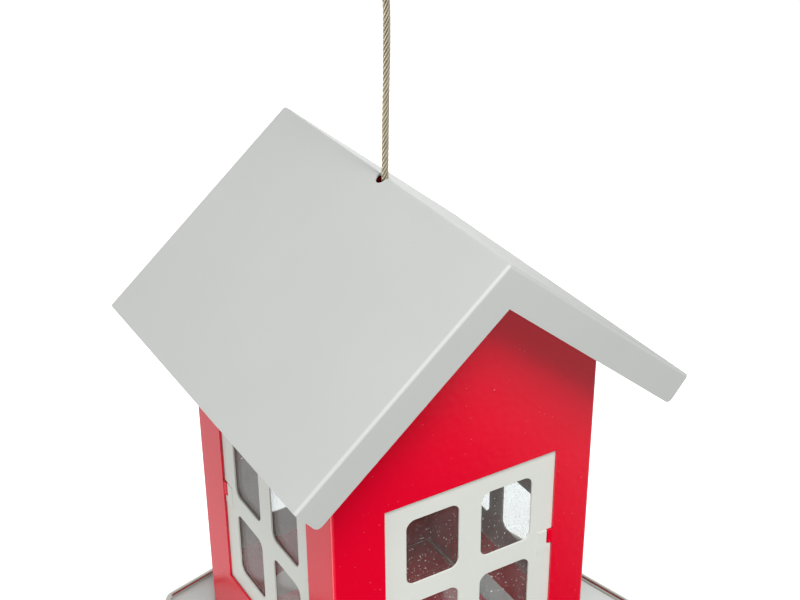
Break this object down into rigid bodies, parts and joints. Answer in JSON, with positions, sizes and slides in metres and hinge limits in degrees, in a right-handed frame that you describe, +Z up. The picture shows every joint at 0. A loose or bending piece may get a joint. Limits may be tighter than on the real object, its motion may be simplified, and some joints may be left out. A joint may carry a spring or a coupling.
{
  "type": "hanging bird feeder house",
  "caption": "House-shaped hanging bird feeder: a folded gable roof that lifts along a wire rope, a square hopper with a divided window in each wall, and an eight-sided tray with a wire rim.",
  "frame": {"origin": "the point inside the top eye of the rope where it bears on its hook", "axes": "+Z up, +X to the right of the front gable seen from outside, +Y from the front gable to the back gable"},
  "size_m": [0.2533, 0.2472, 0.4216],
  "materials": {
    "roof_paint": "light grey powder coat, fine texture",
    "wall_paint": "bright red gloss powder coat",
    "bar_paint": "black powder coat",
    "window_paint": "off-white powder coat",
    "clear_sheet": "clear, slightly dusty",
    "tray_paint": "light grey powder coat",
    "bright_wire": "polished",
    "zinc_plate": "zinc plated",
    "steel_rope": "stranded wire, dull",
    "rivet_alloy": "crimped"
  },
  "bodies": {
    "house": {"house_shell_front_left": "wall_paint", "house_shell_back_right": "wall_paint", "window_frame_front": "window_paint", "window_pane_front": "clear_sheet", "window_frame_left": "window_paint", "window_pane_left": "clear_sheet", "window_frame_back": "window_paint", "window_pane_back": "clear_sheet", "window_frame_right": "window_paint", "window_pane_right": "clear_sheet", "seed_deflector": "wall_paint", "rope_bar": "bar_paint", "rope_bar_rivet_left": "rivet_alloy", "rope_bar_rivet_right": "rivet_alloy", "tray_washer": "zinc_plate", "rope_end_stop": "rivet_alloy", "hanging_rope": "steel_rope", "eye_sleeve": "rivet_alloy"},
    "roof": {"roof": "roof_paint"},
    "tray": {"tray": "tray_paint", "tray_rim_wire": "bright_wire"}
  },
  "joints": [
    {"name": "roof_lift", "type": "slide", "parent": "house", "child": "roof", "axis": [0.0214, -0.0126, 0.9997], "range_m": [0, 0.085]},
    {"name": "tray_turn", "type": "hinge", "parent": "house", "child": "tray", "pos_m": [-0.00294, 0.00173, -0.4014], "axis": [0, 0, 1], "continuous": true}
  ]
}
